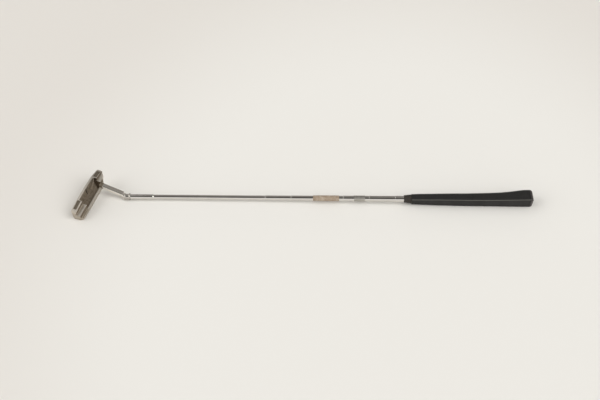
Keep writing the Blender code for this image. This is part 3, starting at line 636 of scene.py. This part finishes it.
# %% [markdown]
# The head. Seen from the front it is a long bar with a round toe and a heel that slopes down,
# and seen from above its back is a shallow arc. It could be built up from blocks, but the real
# one is a casting that is milled and hollowed, and cutting gives the same crisp planes. So the
# front outline is pushed back to a solid, and the plan, the steps, the cavity and the pockets
# are cut from it in turn.

# %% Outlines of the head
def back_depth(x):
    """Face to back edge: an arc through the depths at heel, middle and toe."""
    share = (x - HEAD_MIDDLE) / HEAD_HALF
    mean = (HEEL_DEPTH + TOE_DEPTH) / 2
    return mean + share * (TOE_DEPTH - HEEL_DEPTH) / 2 + (MIDDLE_DEPTH - mean) * (1 - share * share)


def sole_height(x, depth):
    end_camber = TOE_CAMBER if x > HEAD_MIDDLE else HEEL_CAMBER
    camber = end_camber * ((x - HEAD_MIDDLE) / HEAD_HALF) ** 2
    return camber + max(0, depth - TOPLINE) * math.tan(SOLE_RELIEF)


def stations(count=16):
    """Places from heel to toe, without the two ends, at which a curved edge gets a point."""
    return [-HEEL_X + (TOE_X + HEEL_X) * step / count for step in range(1, count)]


front_outline = rounded(
    [(-HEEL_X, HEEL_CAMBER, HEEL_RADIUS)]
    + [(x, sole_height(x, 0), 0) for x in stations()]
    + [(TOE_X, TOE_CAMBER, TOE_SOLE_RADIUS), (TOE_X, FACE_HEIGHT, TOE_TOP_RADIUS),
       (-HEEL_SLOPE_X, FACE_HEIGHT, 0), (-HEEL_SHOULDER_X, HEEL_SHOULDER, 0),
       (-HEEL_X, HEEL_TOP, HEEL_RADIUS)])
plan_outline = rounded(
    [(-HEEL_X, -HEEL_DEPTH, HEEL_CORNER_RADIUS)]
    + [(x, -back_depth(x), 0) for x in stations()]
    + [(TOE_X, -TOE_DEPTH, TOE_CORNER_RADIUS), (TOE_X, CUT, 0), (-HEEL_X, CUT, 0)])
behind = MIDDLE_DEPTH + CUT
above = FACE_HEIGHT + CUT
reach = TOE_X + HEEL_X

# %% Casting: outline, plan and steps
casting = pushed("blade_casting", [Vector((p.x, CUT, p.y)) for p in front_outline],
                 Vector((0, -CUT - behind, 0)))
casting.data.materials.append(satin_steel)
plan = pushed("plan_trim", [Vector((p.x, p.y, -CUT)) for p in plan_outline],
              Vector((0, 0, CUT + above)))
plan.data.materials.append(satin_steel)
combine(casting, plan, "INTERSECT")
for low, high in (((-reach, -behind, HIGH_STEP), (reach, -TOPLINE, above)),
                  ((-reach, -behind, LOW_STEP), (reach, -HIGH_STEP_DEPTH, above))):
    step_cut = block("step_cut", low, high)
    # The ledges of the steps get the darker copy, painted shade.
    finish(step_cut, satin_steel, painted_shade_step_steel, lambda face: face.normal.z < -0.5)
    combine(casting, step_cut)

# %% [markdown]
# The cavity's cutter has round lower edges, because a casting has no sharp inner corners: metal
# doesn't fill them. Behind the face it goes 2 mm deeper than the back of the topline, and a slope
# leads up to that. The cutter carries the blasted finish, and Blender's boolean gives that finish
# to the faces it cuts.

# %% Casting: cavity and sight line
cavity_back = TOPLINE - CAVITY_EXTRA
cavity_outline = rounded([
    (-CAVITY_HEEL_X, -behind, 0),
    (CAVITY_TOE_X, -behind, 0),
    (CAVITY_TOE_X + CAVITY_TOE_SLANT, -cavity_back, CAVITY_TOE_RADIUS),
    (-CAVITY_HEEL_X + CAVITY_HEEL_SLANT + CAVITY_EXTRA, -cavity_back, CAVITY_HEEL_RADIUS),
    (-CAVITY_HEEL_X, -HEEL_DEPTH, 0),
])
cavity = pushed("cavity_cut", [Vector((p.x, p.y, FLANGE)) for p in cavity_outline],
                Vector((0, 0, above - FLANGE)))
edit(cavity)
count = select("EDGE", lambda edge: all(abs(vert.co.z - FLANGE) < TINY for vert in edge.verts)
               and not all(vert.co.y < -behind + TINY for vert in edge.verts))
bpy.ops.mesh.bevel(offset=CAVITY_FILLET, segments=5, affect="EDGES")
bpy.ops.object.mode_set(mode="OBJECT")
slope_line = [(-TOPLINE, above + CUT), (-TOPLINE, CAVITY_SLOPE_TOP),
              (-cavity_back, CAVITY_SLOPE_LOW), (CUT, CAVITY_SLOPE_LOW), (CUT, above + CUT)]
slope = pushed("cavity_slope", [Vector((-reach, y, z)) for y, z in slope_line],
               Vector((2 * reach, 0, 0)))
combine(cavity, slope)


def on_heel_wall(face, upright=0.3, heelward=0.25):
    """Whether a face of the cutter makes the cavity's wall at the heel end."""
    steep = abs(face.normal.z) < upright
    return steep and face.normal.x < -heelward and face.center.x < CAVITY_HEEL_SLANT


# The heel wall gets the copy with the painted shade in its corner.
finish(cavity, cavity_steel, painted_shade_heel_steel, on_heel_wall)
combine(casting, cavity)
sight_back = SIGHT_MARGIN - back_depth(SIGHT_X)
sight = block("sight_cut",
              (SIGHT_X - SIGHT_WIDTH / 2, sight_back, FLANGE - SIGHT_DEPTH),
              (SIGHT_X + SIGHT_WIDTH / 2, -TOPLINE - SIGHT_MARGIN, FLANGE + CUT))
sight.data.materials.append(sight_enamel)
combine(casting, sight)
print("cavity edges rounded", count)

# %% [markdown]
# The neck stands on a low boss that carries on its square section and its lean. The sole then
# slopes up to the back, so that the head doesn't catch the turf, and the face leans back by its
# loft. Each of the two is one cut with a big block.

# %% Casting: boss
neck_aim = SHAFT_POINT + SHAFT_WAY * NECK_AIM - NECK_FOOT
neck_way = neck_aim.normalized()
boss_length = (FACE_HEIGHT + BOSS_RISE - HIGH_STEP + BOSS_SINK) / neck_way.z
boss = square_bar("boss", NECK_FOOT - neck_way * (boss_length + NECK_SIZE), neck_way,
                  boss_length + 2 * NECK_SIZE)
for height, side in ((NECK_FOOT.z - GAP, 1), (HIGH_STEP - BOSS_SINK, -1)):
    bpy.ops.mesh.select_all(action="SELECT")
    bpy.ops.mesh.bisect(plane_co=(0, 0, height), plane_no=(0, 0, side),
                        use_fill=True, clear_outer=True)
finish_edit()
# The boss gets the darker copy, painted shade.
boss.data.materials.append(painted_shade_step_steel)
combine(casting, boss, "UNION")

# %% Casting: sole and face
hinge = Matrix.Translation((0, -TOPLINE, 0)) @ Matrix.Rotation(-SOLE_RELIEF, 4, "X")
for name, low, high, place in (
        ("sole_cut", (-reach, -reach, -reach), (reach, reach, 0), hinge),
        ("face_cut", (-reach, 0, -reach), (reach, reach, reach), Matrix.Rotation(LOFT, 4, "X"))):
    plane_cut = block(name, low, high, place)
    plane_cut.data.materials.append(satin_steel)
    combine(casting, plane_cut)

# %% [markdown]
# Each bumper has a pocket for its weight. It is milled in from the back and leaves a thin rim of
# steel round the weight. The last cut is the round socket that the neck's spigot goes into.

# %% Casting: pockets and socket
toe_low = CAVITY_TOE_X + POCKET_RIM
toe_high = toe_low + TOE_POCKET_LENGTH
heel_high = -CAVITY_HEEL_X - HEEL_POCKET_RIM
heel_low = heel_high - HEEL_POCKET_LENGTH
for name, low, high, end in (("toe", toe_low, toe_high, toe_high),
                             ("heel", heel_low, heel_high, heel_low)):
    foot = sole_height(end, back_depth(end)) + POCKET_RIM
    top = foot + POCKET_HEIGHT
    floor = back_depth(end) - POCKET_DEPTH
    outline = rounded([(low, foot, POCKET_RADIUS), (high, foot, POCKET_RADIUS),
                       (high, top, POCKET_RADIUS), (low, top, POCKET_RADIUS)])
    pocket = pushed(name + "_pocket", [Vector((p.x, -floor, p.y)) for p in outline],
                    Vector((0, floor - behind, 0)))
    pocket.data.materials.append(cavity_steel)
    combine(casting, pocket)
socket = bar("socket", NECK_FOOT - Vector((0, 0, SPIGOT_LENGTH + GAP)),
             NECK_FOOT + Vector((0, 0, CUT)), SPIGOT_RADIUS + GAP)
combine(casting, socket)

# %% [markdown]
# The cuts leave split planes and stray points. Merging and dissolving them gives clean edges,
# which are then rounded by half a millimetre.

# %% Casting: soft edges
STRAY = 0.00001
FLAT = math.radians(0.4)
CASTING_EDGE = 0.0005
edit(casting)
bpy.ops.mesh.select_all(action="SELECT")
bpy.ops.mesh.remove_doubles(threshold=STRAY)
bpy.ops.mesh.dissolve_limited(angle_limit=FLAT, delimit={"MATERIAL"})
bpy.ops.object.mode_set(mode="OBJECT")
soften(casting, CASTING_EDGE)
settle(casting, HEAD_PLACE)
stands_for(casting, "head_casting")

# %% [markdown]
# The neck is a square bar with rounded edges that leans forward from the boss and then runs into
# the round foot of the collar. The bar is a rounded square, extruded along its line. A circle is
# added where the collar stands, and the two rims are bridged, so that the square melts into the
# round as the real forging does.

# %% Neck
BLEND = 0.0032
ROOT_RADIUS, ROOT_STEPS = 0.0065, 36
RIM_EDGE, NECK_EDGE = 0.0009, 0.0003
OVERLAP = 0.001
collar_foot = SHAFT_POINT + SHAFT_WAY * (COLLAR_LOW - GAP)
short_of_aim = (NECK_AIM - COLLAR_LOW + BLEND) / neck_way.dot(SHAFT_WAY)
bar_length = neck_aim.length - short_of_aim
neck = square_bar("forged_neck", NECK_FOOT - neck_way * NECK_SIZE, neck_way, NECK_SIZE + bar_length)
bpy.ops.mesh.delete(type="ONLY_FACE")
bpy.ops.mesh.select_all(action="DESELECT")
bpy.ops.mesh.primitive_circle_add(vertices=ROOT_STEPS, radius=ROOT_RADIUS, location=collar_foot,
                                  rotation=SHAFT_WAY.to_track_quat("Z", "Y").to_euler())
bpy.ops.mesh.select_mode(type="EDGE")
bpy.ops.mesh.select_all(action="DESELECT")
bpy.ops.mesh.select_non_manifold()
bpy.ops.mesh.bridge_edge_loops()
bar_end = NECK_FOOT + neck_way * bar_length
select("EDGE", lambda edge: all(abs((vert.co - bar_end).dot(neck_way)) < TINY
                                for vert in edge.verts))
bpy.ops.mesh.bevel(offset=RIM_EDGE, segments=4, affect="EDGES", clamp_overlap=True)
bpy.ops.mesh.select_all(action="DESELECT")
bpy.ops.mesh.select_non_manifold()
bpy.ops.mesh.edge_face_add()
bpy.ops.mesh.select_all(action="SELECT")
bpy.ops.mesh.bisect(plane_co=NECK_FOOT, plane_no=(0, 0, 1), use_fill=True, clear_inner=True)
finish_edit()
neck.data.materials.append(neck_steel)
post = bar("post", collar_foot - SHAFT_WAY * OVERLAP,
           SHAFT_POINT + SHAFT_WAY * (COLLAR_TOP + POST_LENGTH), TIP_RADIUS - SHAFT_WALL - GAP)
spigot = bar("spigot", NECK_FOOT - Vector((0, 0, SPIGOT_LENGTH)),
             NECK_FOOT + Vector((0, 0, SPIGOT_RADIUS)), SPIGOT_RADIUS)
for rod in (post, spigot):
    rod.data.materials.append(neck_steel)
    combine(neck, rod, "UNION")
soften(neck, NECK_EDGE, segments=2, angle=50)
settle(neck, HEAD_PLACE)
stands_for(neck, "neck")

# %% [markdown]
# The collar is a turned ring with a bead at each end. Its outline is drawn once and spun.

# %% Collar
BEAD_STEPS = 12
HOLLOW_DEPTH, HOLLOW_INSET = 0.0002, 0.0006
waist = COLLAR_RADIUS - BEAD_HEIGHT


def bead(top):
    """The outer side of one bead, from its top down."""
    swings = [math.pi * step / BEAD_STEPS for step in range(BEAD_STEPS + 1)]
    return [(waist + BEAD_HEIGHT * math.sin(swing), top - BEAD_LENGTH / 2 * (1 - math.cos(swing)))
            for swing in swings]


bore = TIP_RADIUS - SHAFT_WALL
hollow = [(waist - HOLLOW_DEPTH, COLLAR_TOP - BEAD_LENGTH - HOLLOW_INSET),
          (waist - HOLLOW_DEPTH, COLLAR_LOW + BEAD_LENGTH + HOLLOW_INSET)]
collar = turned("beaded_collar", bead(COLLAR_TOP) + hollow + bead(COLLAR_LOW + BEAD_LENGTH)
                + [(bore, COLLAR_LOW), (bore, COLLAR_TOP)])
collar.data.materials.append(collar_steel)
shade(collar)
settle(collar, SHAFT_PLACE)
stands_for(collar, "hosel_collar")

# %% [markdown]
# The shaft is a steel tube that is drawn in steps: every 52 mm it grows by 0.6 mm. Each step is
# a short, smooth cone, and it is those cones that break up the long reflections.

# %% Shaft
TIP_CHAMFER, TIP_CHAMFER_LENGTH = 0.0003, 0.0004
step_places = [COLLAR_TOP + STEP_START + STEP_PITCH * step for step in range(STEP_COUNT)]
tip_top = SHAFT_LOW + TIP_LENGTH


def shaft_radius(height):
    if height < tip_top:
        return TIP_RADIUS
    return SHAFT_RADIUS + STEP_RISE * sum(place <= height for place in step_places)


def eased(low_radius, low, high_radius, high, count=6):
    """A smooth S between two radii, from high down to low."""
    curve = []
    for step in range(count + 1):
        share = step / count
        ease = share * share * (3 - 2 * share)
        curve.append((high_radius + (low_radius - high_radius) * ease, high + (low - high) * share))
    return curve


shaft_top = CAP_LOW - GAP
outer = [(shaft_radius(shaft_top), shaft_top)]
for place in reversed(step_places):
    outer += eased(shaft_radius(place) - STEP_RISE, place - STEP_TAPER, shaft_radius(place), place)
outer += eased(SHAFT_RADIUS, tip_top + TIP_TAPER, TIP_RADIUS, tip_top)[::-1]
straight = outer + [(TIP_RADIUS, SHAFT_LOW)]
inner = [(radius - SHAFT_WALL, height) for radius, height in reversed(straight)]
outer += [(TIP_RADIUS, SHAFT_LOW + TIP_CHAMFER_LENGTH), (TIP_RADIUS - TIP_CHAMFER, SHAFT_LOW)]
shaft = turned("chromed_shaft", outer + inner)
shaft.data.materials.append(chrome)
shade(shaft)
settle(shaft, SHAFT_PLACE)
stands_for(shaft, "shaft")

# %% [markdown]
# Each label is a thin sleeve whose free end lies over its start, which shows as a low step along
# the back of the shaft. The sleeve is spun all the way round, and a narrow strip one paper
# thickness higher is spun over 20 degrees.

# %% Labels on the shaft
PAPER = 0.00014
SLEEVE_LIFT, LAP_LIFT = 0.00003, PAPER + 0.00004
LAP, LAP_STEPS = math.radians(20), 6


def label_profile(low, length, lift):
    """The outline of a label that follows the shaft and its steps, lifted off it a little."""
    profile = [(shaft_radius(low) + lift, low)]
    for place in step_places:
        if low < place < low + length:
            profile += [(shaft_radius(place) - STEP_RISE + lift, place - STEP_TAPER),
                        (shaft_radius(place) + lift, place)]
    profile.append((shaft_radius(low + length) + lift, low + length))
    return profile + [(radius + PAPER, height) for radius, height in profile[::-1]]


def label(name, low, length, look):
    """A sleeve and the lap on it, joined to one piece."""
    parts = []
    for lift, angle, steps in ((SLEEVE_LIFT, math.tau, TURN_STEPS), (LAP_LIFT, LAP, LAP_STEPS)):
        part = turned(name, label_profile(low, length, lift), angle, steps)
        if angle < math.tau:
            edit(part)
            bpy.ops.mesh.select_all(action="DESELECT")
            bpy.ops.mesh.select_non_manifold()
            bpy.ops.mesh.edge_face_add()
            select("EDGE", lambda edge: edge.is_boundary)
            bpy.ops.mesh.edge_face_add()
            finish_edit()
        part.data.materials.append(look)
        parts.append(part)
    deselect()
    for part in parts:
        part.select_set(True)
    bpy.context.view_layer.objects.active = parts[0]
    bpy.ops.object.join()
    parts[0].name = name
    shade(parts[0])
    settle(parts[0], SHAFT_PLACE)
    return parts[0]


paper_label = label("paper_label", PAPER_LOW, PAPER_LENGTH, tan_paper)
stands_for(paper_label, "shaft_band_paper")
foil_label = label("foil_label", FOIL_LOW, FOIL_LENGTH, foil)
stands_for(foil_label, "shaft_band_foil")

# %% [markdown]
# The mouth of the grip is a soft cone that closes on the shaft, with a rolled lip at its thin
# end and two shallow grooves.

# %% Mouth of the grip
MOUTH_CHAMFER, MOUTH_CHAMFER_LENGTH = 0.0003, 0.0004
GROOVE_PLACES = (0.0042, 0.0100)
GROOVE_WIDTH, GROOVE_FLOOR, GROOVE_DEPTH = 0.0014, 0.0006, 0.00022
LIP_RADIUS, LIP_STEPS = 0.0006, 6
MOUTH_CLEARANCE = 0.0001
mouth_top = GRIP_LOW + MOUTH_LENGTH
mouth_bore = shaft_radius(GRIP_LOW) + MOUTH_CLEARANCE
swell = (MOUTH_BODY_RADIUS - MOUTH_RADIUS) / MOUTH_LENGTH
profile = [(MOUTH_BODY_RADIUS - MOUTH_CHAMFER, mouth_top),
           (MOUTH_BODY_RADIUS, mouth_top - MOUTH_CHAMFER_LENGTH)]
for groove in GROOVE_PLACES:
    for offset, depth in ((GROOVE_WIDTH / 2, 0), (GROOVE_FLOOR / 2, GROOVE_DEPTH),
                          (-GROOVE_FLOOR / 2, GROOVE_DEPTH), (-GROOVE_WIDTH / 2, 0)):
        height = mouth_top - groove + offset
        profile.append((MOUTH_RADIUS + swell * (height - GRIP_LOW) - depth, height))
for step in range(LIP_STEPS + 1):
    swing = math.pi / 2 * step / LIP_STEPS
    profile.append((MOUTH_RADIUS - LIP_RADIUS * (1 - math.cos(swing)),
                    GRIP_LOW + LIP_RADIUS * (1 - math.sin(swing))))
profile += [(mouth_bore, GRIP_LOW), (mouth_bore, mouth_top)]
mouth = turned("grip_mouth_cone", profile)
mouth.data.materials.append(mouth_rubber)
shade(mouth)
settle(mouth, SHAFT_PLACE)
stands_for(mouth, "grip_mouth")

# %% [markdown]
# The body of the grip has a flat front and a round back that swells to the butt. Its CAD solid
# has that shape already, in coarse facets, so a copy of it is merged, turned back to four-sided
# faces and subdivided. Its ends are creased first, because a subdivision pulls in what isn't.

# %% Grip and cap
QUAD_BEND, QUAD_SKEW, SHARP = math.radians(30), math.radians(50), math.radians(50)


def smooth_copy(node, name):
    mesh = frame["nodes"][node].data.copy()
    mesh.materials.clear()
    piece = bpy.data.objects.new(name, mesh)
    bpy.context.scene.collection.objects.link(piece)
    edit(piece)
    bpy.ops.mesh.select_all(action="SELECT")
    bpy.ops.mesh.remove_doubles(threshold=TINY)
    bpy.ops.mesh.tris_convert_to_quads(face_threshold=QUAD_BEND, shape_threshold=QUAD_SKEW)
    bpy.ops.mesh.select_all(action="DESELECT")
    bpy.ops.mesh.edges_select_sharp(sharpness=SHARP)
    bpy.ops.transform.edge_crease(value=1)
    bpy.ops.object.mode_set(mode="OBJECT")
    step = piece.modifiers.new("smooth", "SUBSURF")
    step.levels = 2
    step.render_levels = 2
    bpy.ops.object.modifier_apply(modifier=step.name)
    shade(piece)
    return piece


grip = smooth_copy("grip", "pistol_grip")
grip.data.materials.append(grip_rubber)
stands_for(grip, "grip")
cap = smooth_copy("grip_cap", "butt_cap")
cap.data.materials.append(cap_rubber)
stands_for(cap, "grip_cap")

# %% [markdown]
# The weights and the tape have the right shape in the CAD, so they stay and only get a finish.

# %% Repaint the CAD nodes that stay
for node, look in (("toe_weight", weight_paint), ("heel_weight", weight_paint),
                   ("grip_tape", masking_tape)):
    piece = frame["nodes"][node]
    piece.data.materials.clear()
    piece.data.materials.append(look)

# %% [markdown]
# The table is a pale paper sweep. It is painted a little darker away from a point near the club,
# as a painted pool of light. It is matt, so it lights the underside of the club, and it takes the
# soft shadow.

# %% Table
TABLE_RADIUS = 6
deselect()
bpy.ops.mesh.primitive_circle_add(vertices=96, radius=TABLE_RADIUS, fill_type="NGON")
table = bpy.context.object
table.name = "table"
sweep, shader, place = new_look("pale_paper_sweep")
squashed = add(sweep, "Mapping", {"Vector": place, "Scale": (1, 0.7, 1)})
# Painted pool of light: the sweep gets darker with distance from a point near the club.
away = add(sweep, "VectorMath", {0: squashed, 1: (0.19, -0.16, 0)}, operation="DISTANCE")
painted_light_falloff = add(sweep, "MapRange", {"Value": away, "From Min": 0.42, "From Max": 0.90},
              interpolation_type="SMOOTHSTEP")
tone = add(sweep, "Mix", {0: painted_light_falloff, 6: linear("#ECEAE5"), 7: linear("#E2DED8")},
           data_type="RGBA")
fibres = add(sweep, "TexNoise", {"Vector": place, "Scale": 300, "Detail": 3})
dents = add(sweep, "Bump", {"Height": fibres, "Strength": 0.05, "Distance": 0.0002})
shader.inputs["Roughness"].default_value = 0.8
shader.inputs["Specular IOR Level"].default_value = 0.2
connect(sweep, shader, Base_Color=tone, Normal=dents)
table.data.materials.append(sweep)

# %% [markdown]
# The room. A polished tube shows everything round it, so the room matters as much as the metal:
# white walls, a ceiling that is dim at the back and lighter in front, and a dark patch behind
# the camera.

# %% Room
room = bpy.data.worlds.new("studio_room")
bpy.context.scene.world = room
room.use_nodes = True
ways = add(room, "TexCoord", {}).outputs["Generated"]
way_parts = add(room, "SeparateXYZ", {"Vector": ways})
nearness = add(room, "MapRange",
               {"Value": way_parts.outputs["Y"], "From Min": 0.3, "From Max": -0.3})
rise = add(room, "MapRange", {"Value": way_parts.outputs["Z"], "From Min": 0.15, "From Max": 0.5})
ceiling = add(room, "Mix", {0: nearness, 6: linear("#827F7B"), 7: linear("#D5D3CF")},
              data_type="RGBA")
inside = add(room, "Mix", {0: rise, 6: linear("#FFFEFB"), 7: ceiling}, data_type="RGBA")
toward = add(room, "VectorMath", {0: ways, 1: (0, -0.5, 0.866)}, operation="DOT_PRODUCT")
dark_patch = add(room, "MapRange", {"Value": toward, "From Min": 0.79, "From Max": 0.97},
                 interpolation_type="SMOOTHSTEP")
seen = add(room, "Mix", {0: dark_patch, 6: inside, 7: linear("#4A4845")}, data_type="RGBA")
background = room.node_tree.nodes["Background"]
connect(room, background, Color=seen)
background.inputs["Strength"].default_value = 1.07

# %% [markdown]
# Three soft lights stand at the sides. The tube doesn't mirror them from there, and the shadows
# that they make fall mostly behind the club, where it hides them.

# %% Lights
LAMP_SPREAD = math.radians(50)
for name, strength, sideways, height in (("right_light", 1.6, 60, 45),
                                         ("left_light", 0.95, -75, 25),
                                         ("back_light", 0.45, -120, 45)):
    lamp = bpy.data.lights.new(name, "SUN")
    lamp.energy = strength
    lamp.angle = LAMP_SPREAD
    holder = bpy.data.objects.new(name, lamp)
    holder.rotation_euler = (math.radians(90 - height), 0, math.radians(sideways))
    bpy.context.scene.collection.objects.link(holder)
bpy.context.scene.view_settings.view_transform = "Standard"

# %% [markdown]
# The camera looks down at 45 degrees from 1.8 m, from a little to the right, with a short
# telephoto lens. These values come from fitting the club's known sizes to the photo.

# %% Camera
LOOK_AT = Vector((-0.00804, 0.00451, 0.008))
ELEVATION = math.radians(45)
SIDEWAYS = math.radians(1.180)
DISTANCE = 1.7962
LENS, SENSOR = 54, 36
view = Matrix.Rotation(SIDEWAYS, 3, "Z") @ Matrix.Rotation(-ELEVATION, 3, "X") @ Vector((0, -1, 0))
camera = bpy.data.objects.new("camera", bpy.data.cameras.new("camera"))
camera.data.lens = LENS
camera.data.sensor_width = SENSOR
camera.location = LOOK_AT + view * DISTANCE
camera.rotation_euler = view.to_track_quat("Z", "Y").to_euler()
bpy.context.scene.collection.objects.link(camera)
bpy.context.scene.camera = camera

# %% Clear the selection
deselect()
